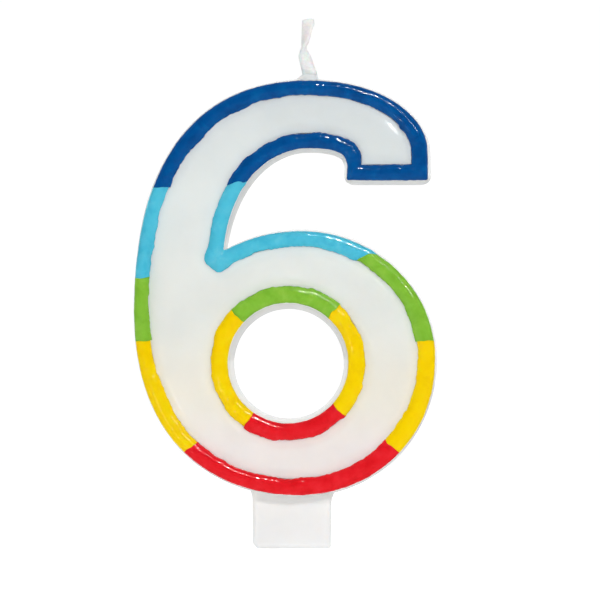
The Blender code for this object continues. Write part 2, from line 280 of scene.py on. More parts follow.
def filled(points, count, partner):
    """points with midpoints added until there are count, each where that makes partner fit best."""
    while len(points) < count:
        tries = (
            np.insert(points, k + 1, (points[k] + points[(k + 1) % len(points)]) / 2, axis=0)
            for k in range(len(points))
        )
        points = min(tries, key=lambda made: misfit(made, partner)[0] if len(made) == len(partner) else 0)
    return points


def paired(points, partner):
    """Both lines with equal counts, partner turned so that its points go with the ones across from them."""
    count = max(len(points), len(partner))
    points, partner = filled(points, count, partner), filled(partner, count, points)
    return points, np.roll(partner, -misfit(points, partner)[1], axis=0)


class SmoothLoop:
    """A smooth closed curve through points, read by fractional index, with true corners kept sharp."""

    def __init__(self, points):
        self.points = points
        chord = np.roll(points, -1, axis=0) - points
        self.length = np.linalg.norm(chord, axis=1)
        ahead = chord / self.length[:, None]
        behind = np.roll(ahead, 1, axis=0)
        before = np.roll(self.length, 1)[:, None]
        middle = (behind * self.length[:, None] + ahead * before) / (before + self.length[:, None])
        sharp = np.arccos(np.clip(np.sum(ahead * behind, axis=1), -1, 1)) > CORNER_TURN
        self.sharp = np.flatnonzero(sharp)
        self.leaving = np.where(sharp[:, None], ahead, middle)
        self.arriving = np.where(sharp[:, None], behind, middle)

    def at(self, index):
        index = np.mod(np.asarray(index, float), len(self.points))
        i = np.floor(index).astype(int)
        s = (index - i)[:, None]
        j = (i + 1) % len(self.points)
        reach = self.length[i][:, None]
        return (
            (1 + 2 * s) * (1 - s) ** 2 * self.points[i]
            + s * (1 - s) ** 2 * reach * self.leaving[i]
            + s * s * (3 - 2 * s) * self.points[j]
            - s * s * (1 - s) * reach * self.arriving[j]
        )


def nearest_node(points, y, names):
    """For each X, Z point, the node in names whose mesh comes nearest to it."""
    spots = [(vertex.co, k) for k, name in enumerate(names) for vertex in frame["nodes"][name].data.vertices]
    tree = KDTree(len(spots))
    for co, k in spots:
        tree.insert(co, k)
    tree.balance()
    return np.array([tree.find((x, y, z))[1] for x, z in points])


# ---------------------------------------------------------------- mesh helpers

class Shell:
    """Vertices and faces collected for one mesh."""

    def __init__(self):
        self.points = []
        self.faces = []

    def row(self, x, y, z):
        """Adds points, each coordinate one value or one for each point, and gives their indices."""
        first = len(self.points)
        self.points += list(zip(*np.broadcast_arrays(x, y, z)))
        return np.arange(first, len(self.points))

    def ring(self, points, y):
        """Adds X, Z points at depth y, one value or one for each, and gives their indices."""
        return self.row(points[:, 0], y, points[:, 1])

    def chain(self, rows):
        """Quads between closed rows of equal length, one after another."""
        for near, far in zip(rows, rows[1:]):
            self.faces += [(near[k - 1], near[k], far[k], far[k - 1]) for k in range(len(near))]

    def tube(self, rows):
        """A chain with a face over each end."""
        self.chain(rows)
        self.faces += [tuple(rows[0]), tuple(rows[-1][::-1])]

    def fill(self, outer, inner, extra, depth):
        """Triangles between an outer ring and a hole's ring, through extra X, Z points at depth(points)."""
        rim = np.concatenate([outer, inner]).astype(int)
        flat = np.array([(self.points[i][0], self.points[i][2]) for i in rim])
        index = np.concatenate([rim, self.ring(extra, depth(extra))])
        flat = np.concatenate([flat, extra])
        n, m = len(outer), len(inner)
        edges = [(k, (k + 1) % n) for k in range(n)] + [(n + k, n + (k + 1) % m) for k in range(m)]
        # The triangulation's tolerances suit numbers near one, so it works in millimetres.
        spots, _, triangles, sources, _, _ = delaunay_2d_cdt(
            [Vector(p) for p in flat / MM], edges, [], 0, 1e-5, True
        )
        middle = np.array([sum((spots[i] for i in t), Vector((0, 0))) / 3 for t in triangles]) * MM
        kept = inside(middle, flat[:n])
        if m:
            kept &= ~inside(middle, flat[n : n + m])
        for triangle, keep in zip(triangles, kept):
            if keep:
                self.faces.append(tuple(index[sources[i][0]] for i in triangle))

    def mesh(self, name):
        made = bmesh.new()
        verts = [made.verts.new(point) for point in self.points]
        for face in self.faces:
            if len(set(face)) > 2:
                made.faces.new([verts[i] for i in dict.fromkeys(face)])
        loose = [vert for vert in made.verts if not vert.link_faces]
        bmesh.ops.delete(made, geom=loose, context="VERTS")
        bmesh.ops.recalc_face_normals(made, faces=made.faces)
        mesh = bpy.data.meshes.new(name)
        made.to_mesh(mesh)
        made.free()
        mesh.shade_smooth()
        return mesh


def inside(points, loop):
    """Whether each point lies within a closed line."""
    odd = np.zeros(len(points), bool)
    x, z = points.T
    for (ax, az), (bx, bz) in zip(loop, np.roll(loop, -1, axis=0)):
        if az != bz:
            odd ^= ((az > z) != (bz > z)) & (x < (bx - ax) * (z - az) / (bz - az) + ax)
    return odd


def inset(points, distance):
    """A closed line moved into its own area, with folds at tight corners evened out."""
    after = np.roll(points, -1, axis=0) - points
    after /= np.linalg.norm(after, axis=1)[:, None]
    before = np.roll(after, 1, axis=0)
    normal = np.stack([-before[:, 1] - after[:, 1], before[:, 0] + after[:, 0]], axis=1)
    moved = points + normal * (distance / (1 + np.sum(before * after, axis=1)))[:, None]
    for _ in range(40):
        step = np.roll(moved, -1, axis=0) - moved
        folded = np.sum(step * after, axis=1) < 0
        folded |= np.roll(folded, 1)
        if not folded.any():
            break
        folded |= np.roll(folded, 1) | np.roll(folded, -1)
        moved[folded] = ((np.roll(moved, 1, axis=0) + np.roll(moved, -1, axis=0)) / 2)[folded]
    return moved


def soften(points, marks, reach, rounds):
    """A closed line smoothed near the marked points, within reach of them."""
    points = points.copy()
    near = np.min(np.linalg.norm(points[:, None] - marks[None], axis=2), axis=1) < reach
    for _ in range(rounds):
        before, after = np.roll(points, 1, axis=0), np.roll(points, -1, axis=0)
        points[near] = (0.5 * points + 0.25 * before + 0.25 * after)[near]
    return points


def distance_to(points, line):
    """Distance from each X, Z point to the nearest point of a finely sampled line."""
    tree = KDTree(len(line))
    for k, (x, z) in enumerate(line):
        tree.insert((x, 0, z), k)
    tree.balance()
    return np.array([tree.find((x, 0, z))[2] for x, z in points])


def wobble(points, size, seed=0.0):
    """Smooth noise between about -1 and 1 at X, Z points, with waves about size long."""
    return np.array([noise.noise(Vector((x / size, z / size, seed))) for x, z in points]) * 1.6


def layers(points, rows):
    """Layers of wobble at X, Z points, added up."""
    return sum(height * MM * wobble(points, size * MM, seed) for height, size, seed in rows)


def quarter_turn(count, first=0):
    """Angles in even steps from nothing to a right angle."""
    return [math.radians(90) * k / count for k in range(first, count + 1)]


def circle(centre, radius, count):
    turn = np.arange(count) * math.tau / count
    return centre + radius * np.stack([np.cos(turn), np.sin(turn)], axis=1)


def new_object(name, mesh, material):
    obj = bpy.data.objects.new(name, mesh)
    mesh.materials.clear()
    mesh.materials.append(material)
    bpy.context.scene.collection.objects.link(obj)
    return obj


# ---------------------------------------------------------------- materials

class Nodes:
    """A short way to add and link shader nodes."""

    def __init__(self, name):
        self.material = bpy.data.materials.new(name)
        self.material.use_nodes = True
        self.tree = self.material.node_tree
        self.shader = self.tree.nodes["Principled BSDF"]
        self.place = self.add("ShaderNodeTexCoord").outputs["Object"]

    def add(self, kind, **values):
        node = self.tree.nodes.new(kind)
        for key, value in values.items():
            setattr(node, key, value)
        return node

    def link(self, source, target):
        self.tree.links.new(source, target)

    def noise(self, size, detail=2.0, roughness=0.5, distortion=0.0):
        """Noise with blobs about size across."""
        node = self.add("ShaderNodeTexNoise")
        node.inputs["Scale"].default_value = 1 / size
        node.inputs["Detail"].default_value = detail
        node.inputs["Roughness"].default_value = roughness
        node.inputs["Distortion"].default_value = distortion
        self.link(self.place, node.inputs["Vector"])
        return node.outputs["Fac"]

    def ramp(self, source, stops):
        node = self.add("ShaderNodeValToRGB")
        node.color_ramp.interpolation = "EASE"
        while len(node.color_ramp.elements) < len(stops):
            node.color_ramp.elements.new(0.5)
        for element, (position, color) in zip(node.color_ramp.elements, stops):
            element.position = position
            element.color = (*color, 1)
        self.link(source, node.inputs["Fac"])
        return node.outputs["Color"]

    def span(self, source, low, high, to_low, to_high):
        node = self.add("ShaderNodeMapRange")
        for socket, value in zip(("From Min", "From Max", "To Min", "To Max"), (low, high, to_low, to_high)):
            node.inputs[socket].default_value = value
        self.link(source, node.inputs["Value"])
        return node.outputs["Result"]

    def mix(self, share, a, b, blend="MIX"):
        node = self.add("ShaderNodeMix", data_type="RGBA", blend_type=blend)
        for socket, value in ((node.inputs[0], share), (node.inputs[6], a), (node.inputs[7], b)):
            if isinstance(value, bpy.types.NodeSocket):
                self.link(value, socket)
            elif isinstance(value, tuple):
                socket.default_value = (*value, 1)
            else:
                socket.default_value = value
        return node.outputs[2]

    def bump(self, source, depth, normal=None):
        node = self.add("ShaderNodeBump")
        node.inputs["Strength"].default_value = 1.0
        node.inputs["Distance"].default_value = depth
        self.link(source, node.inputs["Height"])
        if normal:
            self.link(normal, node.inputs["Normal"])
        return node.outputs["Normal"]

    def set(self, **values):
        for key, value in values.items():
            self.shader.inputs[key.replace("_", " ")].default_value = value


def white_wax():
    """Bleached paraffin, faintly cloudy, with painted light on its face: the outline's colours as if
    reflected onto it, lighter low down and darker towards the top.
    """
    nodes = Nodes("white_wax")
    height = nodes.add("ShaderNodeSeparateXYZ")
    nodes.link(nodes.place, height.inputs[0])
    rise = nodes.span(height.outputs["Z"], 0, WAX_HEIGHT, 0, 1)
    # Painted light by height: pink, yellow, green and blue casts where the outline's colours would reflect
    # onto the face, lighter low down where the table lights it, darker towards the top.
    tint = nodes.ramp(
        rise,
        (
            (0.00, (0.905, 0.905, 0.902)),
            (0.09, (0.925, 0.915, 0.892)),
            (0.20, (0.925, 0.868, 0.842)),
            (0.33, (0.925, 0.89, 0.80)),
            (0.50, (0.863, 0.882, 0.84)),
            (0.75, (0.84, 0.882, 0.866)),
            (0.94, (0.777, 0.816, 0.815)),
            (1.00, (0.81, 0.84, 0.835)),
        ),
    )
    # The painted casts and shading fade out towards the back, which stays plain white.
    depth = nodes.span(height.outputs["Y"], -4.5 * MM, 1.5 * MM, 0, 1)
    tint = nodes.mix(depth, tint, (0.91, 0.92, 0.915))
    clouds = nodes.ramp(nodes.noise(9 * MM, 3, 0.55), ((0.3, (0.955, 0.96, 0.965)), (0.7, (1, 1, 1))))
    flecks = nodes.ramp(nodes.noise(0.7 * MM, 2, 0.6), ((0.62, (1, 1, 1)), (0.8, (0.99, 0.985, 0.98))))
    color = nodes.mix(1.0, nodes.mix(1.0, tint, clouds, "MULTIPLY"), flecks, "MULTIPLY")
    nodes.link(color, nodes.shader.inputs["Base Color"])
    nodes.link(nodes.span(nodes.noise(2.5 * MM, 3), 0.3, 0.7, 0.09, 0.18), nodes.shader.inputs["Roughness"])
    soft = nodes.bump(nodes.noise(3.5 * MM, 2, 0.4), 0.05 * MM)
    fine = nodes.bump(nodes.noise(0.35 * MM, 3, 0.6), 0.004 * MM, soft)
    nodes.link(fine, nodes.shader.inputs["Normal"])
    nodes.set(Subsurface_Weight=0.6, Subsurface_Scale=0.9 * MM, IOR=1.44, Specular_IOR_Level=0.09)
    nodes.shader.inputs["Subsurface Radius"].default_value = (1.0, 0.92, 0.85)
    return nodes.material


def colored_wax(name, color, thin, deep):
    """Glossy coloured wax: thin where it was wiped, and deep where it pooled."""
    nodes = Nodes(name)
    pooled = nodes.ramp(nodes.noise(2.2 * MM, 3, 0.55, 0.4), ((0.32, deep), (0.5, color), (0.72, thin)))
    flecks = nodes.ramp(nodes.noise(0.35 * MM, 2, 0.7), ((0.64, (1, 1, 1)), (0.8, (0.9, 0.9, 0.9))))
    tone = nodes.mix(1.0, pooled, flecks, "MULTIPLY")
    nodes.link(tone, nodes.shader.inputs["Base Color"])
    nodes.link(nodes.span(nodes.noise(1.6 * MM, 3), 0.3, 0.7, 0.06, 0.14), nodes.shader.inputs["Roughness"])
    waves = nodes.bump(nodes.noise(1.1 * MM, 2, 0.5, 0.6), 0.018 * MM)
    grain = nodes.bump(nodes.noise(0.22 * MM, 2, 0.6), 0.004 * MM, waves)
    nodes.link(grain, nodes.shader.inputs["Normal"])
    nodes.set(Subsurface_Weight=0.12, Subsurface_Scale=0.4 * MM, IOR=1.45, Specular_IOR_Level=0.12)
    return nodes.material


def wick_cotton():
    """Waxed cotton: greyer and smoother at the foot, where wax has soaked in."""
    nodes = Nodes("wick_cotton")
    height = nodes.add("ShaderNodeSeparateXYZ")
    nodes.link(nodes.place, height.inputs[0])
    level = nodes.add("ShaderNodeMath", operation="MULTIPLY_ADD")
    nodes.link(height.outputs["X"], level.inputs[0])
    level.inputs[1].default_value = 0.28
    nodes.link(height.outputs["Z"], level.inputs[2])
    soaked = nodes.span(level.outputs[0], PIVOT.z + 1.4 * MM, PIVOT.z + 1.7 * MM, 0, 1)
    tint = nodes.mix(soaked, (0.76, 0.785, 0.78), (0.87, 0.87, 0.87))
    fibres = nodes.ramp(nodes.noise(0.25 * MM, 3, 0.7), ((0.35, (0.93, 0.93, 0.925)), (0.65, (1, 1, 1))))
    nodes.link(nodes.mix(1.0, tint, fibres, "MULTIPLY"), nodes.shader.inputs["Base Color"])
    nodes.link(nodes.span(soaked, 0, 1, 0.4, 0.75), nodes.shader.inputs["Roughness"])
    nodes.link(nodes.bump(nodes.noise(0.12 * MM, 3, 0.7), 0.02 * MM), nodes.shader.inputs["Normal"])
    nodes.set(Subsurface_Weight=0.3, Subsurface_Scale=0.3 * MM)
    return nodes.material


# ---------------------------------------------------------------- the casting

def read_outline():
    """From the frame: the raised outline's outer and inner edges, and the counter's centre and radii."""
    outline, foot, seat, hole = flat_loops(frame["nodes"]["wax_body"], SEAT_Y)
    outline, foot = paired(outline, foot)
    centre = seat.mean(axis=0)
    outer_radius, inner_radius = (np.linalg.norm(loop - centre, axis=1).mean() for loop in (seat, hole))
    return SmoothLoop(outline), SmoothLoop(inset(foot, -GAP)), centre, outer_radius - GAP, inner_radius


def stations(outer, inner, spacing):
    """Fractional indices along two paired loops, close enough on both."""
    found = []
    for i, reach in enumerate(np.maximum(outer.length, inner.length)):
        count = max(1, round(reach / spacing))
        found += [i + k / count for k in range(count)]
    return np.array(found)


def hex_points(low, high, pitch):
    """A triangular grid of X, Z points over a box."""
    rows = np.arange(low[1], high[1], pitch * 0.87)
    found = []
    for k, z in enumerate(rows):
        x = np.arange(low[0] + (pitch / 2 if k % 2 else 0), high[0], pitch)
        found.append(np.stack([x, np.full(len(x), z)], axis=1))
    return np.concatenate(found)


def face_points(edge, hole, steps, pitch):
    """Points for a flat area between an edge and a round hole: rows along both edges, then a grid."""
    rim = np.concatenate([edge, hole])
    low, high = edge.min(axis=0), edge.max(axis=0)
    found = []
    spacing = 2 * STATION
    for step in steps:
        for loop, side in ((edge, 1), (hole, -1)):
            row = inset(loop, side * step)
            kept = [row[0]]
            for point in row[1:]:
                if np.linalg.norm(point - kept[-1]) > spacing:
                    kept.append(point)
            found.append((np.array(kept), step))
        spacing = min(spacing * 1.25, pitch)
    rows = []
    for points, step in found:
        gap = distance_to(points, rim)
        rows.append(points[(gap > step * 0.97) & inside(points, edge) & ~inside(points, hole)])
    grid = hex_points(low, high, pitch)
    grid = grid[inside(grid, edge) & ~inside(grid, hole)]
    rows.append(grid[distance_to(grid, rim) > steps[-1] + pitch * 0.6])
    points = np.concatenate(rows)
    # Where two rows meet at a corner, points that almost coincide would make slivers.
    tree = KDTree(len(points))
    for k, (x, z) in enumerate(points):
        tree.insert((x, 0, z), k)
    tree.balance()
    keep = np.ones(len(points), bool)
    for k, (x, z) in enumerate(points):
        if keep[k]:
            for _, other, _ in tree.find_range((x, 0, z), STATION * 0.6):
                if other > k:
                    keep[other] = False
    return points[keep]


def wall_rows(shell, outline, under, corners, draft):
    """Rows from the face's edge, under the raised outline and down the wall to the back.

    Also gives the X, Z points of the first and the last row.
    """
    foot = under + (outline - under) * 0.06
    rows = [shell.ring(foot, SEAT_Y - EDGE_RISE)]
    for share in (0.12, 0.9):
        rows.append(shell.ring(under + (outline - under) * share, SEAT_Y + UNDER_BEAD))
    for cut, depth in LEDGE:
        rows.append(shell.ring(inset(outline, cut), SEAT_Y + depth))
    for k in range(13):
        share = k / 12
        loop = inset(soften(outline, corners, CORNER_SOFT, round(10 * share)), -draft * share)
        waves = 0.03 * MM * wobble(loop, 4 * MM, share)[:, None] * share * (1 - share)
        rows.append(shell.ring(loop + waves, WALL_START + (WALL_END - WALL_START) * share))
    back_outline = soften(outline, corners, CORNER_SOFT, 10)
    for turn in quarter_turn(7, 1):
        loop = inset(back_outline, -draft + BACK_ROUND * (1 - math.cos(turn)))
        rows.append(shell.ring(loop, WALL_END + BACK_ROUND * math.sin(turn)))
    return rows, foot, loop


def counter_rows(shell, centre, ring_outer, ring_inner):
    """Rows round the counter from the face to the back, and the X, Z points of the first and the last."""
    profile = [
        (ring_outer - FACE_HOLE_INSET, SEAT_Y - EDGE_RISE),
        (ring_outer - 0.3 * MM, SEAT_Y + UNDER_BEAD),
        (ring_inner + 0.25 * MM, SEAT_Y + UNDER_BEAD),
    ]
    profile += [(ring_inner + cut, SEAT_Y + depth) for cut, depth in LEDGE]
    for k in range(11):
        share = k / 10
        profile.append((ring_inner - COUNTER_DRAFT * share, WALL_START + (WALL_END - WALL_START) * share))
    narrow = ring_inner - COUNTER_DRAFT
    for turn in quarter_turn(7, 1):
        radius = narrow + 0.85 * BACK_ROUND * (1 - math.cos(turn))
        profile.append((radius, WALL_END + BACK_ROUND * math.sin(turn)))
    loops = [circle(centre, radius, COUNTER_SIDES) for radius, _ in profile]
    rows = [shell.ring(loop, y) for loop, (_, y) in zip(loops, profile)]
    return rows, loops[0], loops[-1]


def pillow(rim):
    """The face's depth at X, Z points, which rises with their distance from the rim."""

    def depth(points):
        reach = distance_to(points, rim) / PILLOW_SHOULDER
        rise = EDGE_RISE + (PILLOW_HEIGHT - EDGE_RISE) * (1 - np.exp(-reach ** 2))
        return SEAT_Y - rise - layers(points, FACE_WAVES) * np.clip(reach / 2, 0, 1)

    return depth


def sunken(edge, hole):
    """The back's depth at X, Z points: it sank a little as it set, except at its edges and off the digit."""
    rim = np.concatenate([edge, hole])

    def depth(points):
        reach = distance_to(points, rim) * inside(points, edge)
        sink = BACK_SINK * (1 - np.exp(-((reach / (2.2 * MM)) ** 2)))
        waves = 0.05 * MM * np.abs(wobble(points, 6 * MM, 5.0)) * np.clip(reach / (2 * MM), 0, 1)
        return BACK_Y - sink * (1 + 0.3 * wobble(points, 12 * MM, 6.0)) - waves

    return depth


def make_body(outer, inner, centre, ring_outer, ring_inner, material):
    """The white casting, with its face, walls, back and counter, and the back's depth as a function."""
    index = stations(outer, inner, STATION)
    corners = outer.points[outer.sharp]
    outline = soften(outer.at(index), corners, 1.2 * MM, 3)
    outward = OUTWARD + stray(outline, 0)
    outline = inset(outline, -outward)
    draft = np.interp(outline[:, 1], *DRAFT) - outward
    shell = Shell()
    wall, foot, back_edge = wall_rows(shell, outline, inner.at(index), corners, draft)
    shell.chain(wall)
    counter, face_hole, back_hole = counter_rows(shell, centre, ring_outer, ring_inner)
    shell.chain(counter)
    rim = np.concatenate([inner.at(stations(outer, inner, 0.12 * MM)), circle(centre, ring_outer, 700)])
    shell.fill(wall[0], counter[0], face_points(foot, face_hole, FACE_STEPS, FACE_PITCH), pillow(rim))
    back_depth = sunken(back_edge, back_hole)
    shell.fill(wall[-1], counter[-1], face_points(back_edge, back_hole, BACK_STEPS, BACK_PITCH), back_depth)
    return new_object("candle_casting", shell.mesh("candle_casting"), material), back_depth


# ---------------------------------------------------------------- the coloured outline

def bead_section(outside, inside_point, height):
    """A domed section from the outer to the inner edge, as (X, Z) and depth."""
    turn = math.pi * np.arange(BEAD_ARCH + 1) / BEAD_ARCH
    across = 0.5 - 0.5 * np.sign(np.cos(turn)) * np.abs(np.cos(turn)) ** 0.93
    rise = height * np.sin(turn) ** 0.8
    return outside + (inside_point - outside) * across[:, None], rise


def make_bead(name, outside, inside_points, swells, material):
    """One run of the raised outline, through paired points on its outer and inner edges."""
    across = inside_points - outside
    joints = [((outside[k] + inside_points[k]) / 2, across[k]) for k in (0, -1)]
    width = np.linalg.norm(across, axis=1)[:, None]
    normal = across / width
    outside = outside + normal * (OVERLAP + layers(outside, NICKS))[:, None]
    along = np.cumsum(np.linalg.norm(np.diff(inside_points, axis=0, prepend=inside_points[:1]), axis=1))
    steps = np.array([noise.cell(Vector((s / STEP_LENGTH, width[0, 0] / MM, 0))) - 0.5 for s in along])
    ragged = layers(inside_points, RAGGED)
    ragged += STEP_HEIGHT * np.convolve(np.pad(steps, 1, "edge"), (0.25, 0.5, 0.25), "valid")
    swell = swells[0] * np.exp(-along / SWELL_REACH)
    swell += swells[1] * np.exp(-(along[-1] - along) / SWELL_REACH)
    inside_points = inside_points + normal * (OVERLAP + ragged + swell * MM)[:, None]
    heights = BEAD_HEIGHT * (1 + 0.07 * wobble(outside, 5 * MM, 9.0))
    beat = math.tau * along / RIPPLE_LENGTH + 1.8 * wobble(outside, 2.1 * MM, 13.0)
    ripples = RIPPLE_HEIGHT * np.sin(beat) * np.clip(0.6 + wobble(outside, 6 * MM, 14.0), 0, 1.2)
    shell = Shell()
    rows = []
    for out, into, height, ripple in zip(outside, inside_points, heights, ripples):
        points, rise = bead_section(out, into, height)
        for centre, span in joints:
            points = lapped(points, centre, span)
        arch = shell.ring(points, SEAT_Y - rise - (layers(points, LUMPS) + ripple) * (rise / height))
        rows.append(np.concatenate([arch, shell.ring(points[[-1, 0]], SEAT_Y + FOOT_DEPTH)]))
    shell.tube(rows)
    return new_object(name, shell.mesh(name), material)


def stray(points, edge):
    """How far each X, Z point of the outer (0) or inner (1) edge strays."""
    total = np.zeros(len(points))
    for x, z, reach, *shifts in STRAYS:
        gap = np.linalg.norm(points - (x * MM, z * MM), axis=1) / (reach * MM)
        total += shifts[edge] * MM * np.exp(-gap * gap)
    return total


def lapped(points, centre, across):
    """X, Z points warped along the run near a joint, so that one colour laps over the next."""
    half = np.linalg.norm(across) / 2
    normal = across / half / 2
    along = np.array([-normal[1], normal[0]])
    side = np.clip((points - centre) @ normal / half, -1.2, 1.2)
    lobe = 0.42 * MM * wobble(centre[None] * 3.1, 7 * MM, 17.0)
    edge = 0.16 * MM * wobble(centre + side[:, None] * (1.5 * MM, 0), 1 * MM, 19.0)
    fade = np.exp(-(((points - centre) @ along / JOINT_REACH) ** 2))
    return points + along * ((lobe * (1 - side**2) + edge) * fade)[:, None]


def breaks_along(loop, names, step=0.02):
    """Where a loop passes from one node to the next: {(from, to): fractional index}."""
    index = np.arange(0, len(loop.points), step)
    owner = nearest_node(loop.at(index), SEAT_Y - GAP, names)
    return {
        (names[owner[k - 1]], names[owner[k]]): index[k] - step / 2
        for k in range(len(index))
        if owner[k] != owner[k - 1]
    }


def outline_runs(outer, inner, names):
    """Yields each node's name with its paired points on the outer and inner edges."""
    outer_breaks = breaks_along(outer, names)
    inner_breaks = breaks_along(inner, names)
    count = len(outer.points)
    marks = stations(outer, inner, BEAD_STATION)
    for name in names:
        (start,) = [pair for pair in outer_breaks if pair[1] == name]
        (end,) = [pair for pair in outer_breaks if pair[0] == name]
        ends = [(outer_breaks[pair], inner_breaks[pair]) for pair in (start, end)]
        first = sum(ends[0]) / 2
        last = first + (sum(ends[1]) / 2 - first) % count
        between = np.sort(np.concatenate([marks, marks + count]))
        between = between[(between > first + 0.02) & (between < last - 0.02)]
        index = np.concatenate([[first], between, [last]])
        # The joints are cut askew, and that eases off within a few points of the outline.
        lean = [np.clip(1 - np.abs(index - place) / 3, 0, 1) ** 2 for place in (first, last)]
        shift = lean[0] * (ends[0][0] - first % count) + lean[1] * (ends[1][0] - last % count)
        outside = soften(outer.at(index + shift), outer.points[outer.sharp], 0.9 * MM, 3)
        inside_points = inner.at(index - shift)
        across = inside_points - outside
        across /= np.linalg.norm(across, axis=1)[:, None]
        outside = outside - across * (OUTWARD + stray(outside, 0))[:, None]
        yield name, outside, inside_points + across * stray(inside_points, 1)[:, None]


def ring_runs(centre, ring_outer, ring_inner, names):
    """Yields each counter node's name with its paired points on the ring's two edges."""
    for name in names:
        low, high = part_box(name)
        spots = np.array([(v.co.x, v.co.z) for v in frame["nodes"][name].data.vertices]) - centre
        turns = np.arctan2(spots[:, 1], spots[:, 0])
        middle = math.atan2((low.z + high.z) / 2 - centre[1], (low.x + high.x) / 2 - centre[0])
        turns = (turns - middle + math.pi) % math.tau - math.pi
        slack = GAP / 2 / ring_inner
        first, last = middle + turns.min() - slack, middle + turns.max() + slack
        count = round((last - first) * ring_outer / BEAD_STATION)
        turn = np.linspace(first, last, count)
        spoke = np.stack([np.cos(turn), np.sin(turn)], axis=1)
        yield name, centre + spoke * ring_inner, centre + spoke * ring_outer


# ---------------------------------------------------------------- tab, collar and wick

def flare(side, end, low, high, turns):
    """A quarter of an ellipse, from the tab's side at one height out to its end at another."""
    return [(side + (end - side) * (1 - math.cos(t)), low + (high - low) * math.sin(t)) for t in turns]


def tab_outline():
    """The tab's edge as X, Z points, anticlockwise from its left foot."""
    (left, left_low, left_high), (right, right_low, right_high) = TAB_FLARES
    half = TAB_HALF_WIDTH
    corners = [(x, 0) for x in np.linspace(-half + TAB_CHAMFER, half - TAB_CORNER, 44)]
    corners.append((half, TAB_CORNER))
    corners += [(half, z) for z in np.arange(0.6 * MM, right_low - 0.2 * MM, TAB_STEP)]
    corners += flare(half, right, right_low, right_high, np.linspace(0, math.pi / 2, 14))
    corners += [(right - 2 * MM, TAB_ROOT), (left + 2 * MM, TAB_ROOT)]
    corners += flare(-half, left, left_low, left_high, np.linspace(math.pi / 2, 0, 14))
    corners += [(-half, z) for z in np.arange(left_low - TAB_STEP, TAB_CHAMFER, -TAB_STEP)]
    outline = np.array(corners)
    outline[:, 0] += 0.04 * MM * wobble(outline, 5 * MM, 21.0) - TAB_SHIFT
    return outline


def make_tab(back_depth, material):
    """The flat tab that goes into the cake, with flares running up into the bowl."""
    outline = tab_outline()
    front = -BACK_Y
    turns = quarter_turn(6)
    sections = [(TAB_EDGE * (1 - math.sin(t)), front + TAB_EDGE * (1 - math.cos(t))) for t in turns]
    sections += [(0, y) for y in np.linspace(front + TAB_EDGE, BACK_Y - TAB_EDGE, 6)[1:-1]]
    sections += [(TAB_EDGE * (1 - math.cos(t)), BACK_Y - TAB_EDGE * (1 - math.sin(t))) for t in turns]

    def sunk(points):
        """How far the back lies from a flat one: flush with the digit's, until it dives in at its root."""
        dive = np.clip((points[:, 1] - DIVE_START) / DIVE_HEIGHT, 0, 1)
        return back_depth(points) - BACK_Y + 0.015 * MM - DIVE_DEPTH * dive * dive * (3 - 2 * dive)

    shell = Shell()
    rows = []
    loops = []
    for cut, y in sections:
        loop = inset(outline, cut)
        share = (y - front) / (BACK_Y - front)
        rows.append(shell.ring(loop, np.minimum(y + sunk(loop) * share, BACK_Y)))
        loops.append(loop)
    shell.chain(rows)
    for k, back in ((0, False), (-1, True)):
        loop = loops[k]
        grid = hex_points(loop.min(axis=0), loop.max(axis=0), TAB_PITCH)
        grid = grid[inside(grid, loop)]
        grid = grid[distance_to(grid, loop) > 0.4 * MM]

        def depth(points, back=back, loop=loop):
            reach = np.clip(distance_to(points, loop) / (1.5 * MM), 0, 1)
            ripple = reach * 0.03 * MM * wobble(points, 5 * MM, 15.0 + back)
            if not back:
                return front + 0.04 * MM * reach + ripple
            return np.minimum(BACK_Y + sunk(points) - 0.3 * np.abs(ripple), BACK_Y)

        shell.fill(rows[k], np.zeros(0, int), grid, depth)
    return new_object("tab", shell.mesh("tab"), material)


def make_collar(material):
    """The bead of wax that crept up the wick."""
    turn = np.arange(COLLAR_SIDES) * math.tau / COLLAR_SIDES
    table = np.array(COLLAR_RINGS) * MM
    levels = np.linspace(table[0, 0], table[-1, 0], COLLAR_ROWS)
    shell = Shell()
    rows = []
    reaches = (np.interp(levels, table[:, 0], table[:, k]) for k in (1, 2, 3))
    for z, left, right, deep in zip(levels, *reaches):
        side = np.where(np.cos(turn) < 0, left, right)
        spots = [Vector((math.cos(t) * 2, math.sin(t) * 2, z / MM)) for t in turn]
        swell = 1 + 0.06 * np.array([noise.noise(spot) for spot in spots])
        x = PIVOT.x + side * np.cos(turn) * swell
        rows.append(shell.row(x, PIVOT.y + deep * np.sin(turn) * swell, z))
    shell.tube(rows)
    return new_object("collar", shell.mesh("collar"), material)


def join(base, parts):
    """Boolean union of parts into base."""
    for part in parts:
        modifier = base.modifiers.new("join", "BOOLEAN")
        modifier.operation = "UNION"
        modifier.solver = "EXACT"
        modifier.object = part
    graph = bpy.context.evaluated_depsgraph_get()
    mesh = bpy.data.meshes.new_from_object(base.evaluated_get(graph))
    base.modifiers.clear()
    base.data = mesh
    for part in parts:
        bpy.data.objects.remove(part)
    mesh.shade_smooth()
    mesh.set_sharp_from_angle(angle=math.radians(35))


def blurred(z, heights, values):
    """The table's values at heights z, with its corners evened out."""
    blur = np.hanning(WICK_BLUR)
    found = np.pad(np.interp(z, heights, values), WICK_BLUR // 2, "edge")
    return np.convolve(found, blur / blur.sum(), "valid")


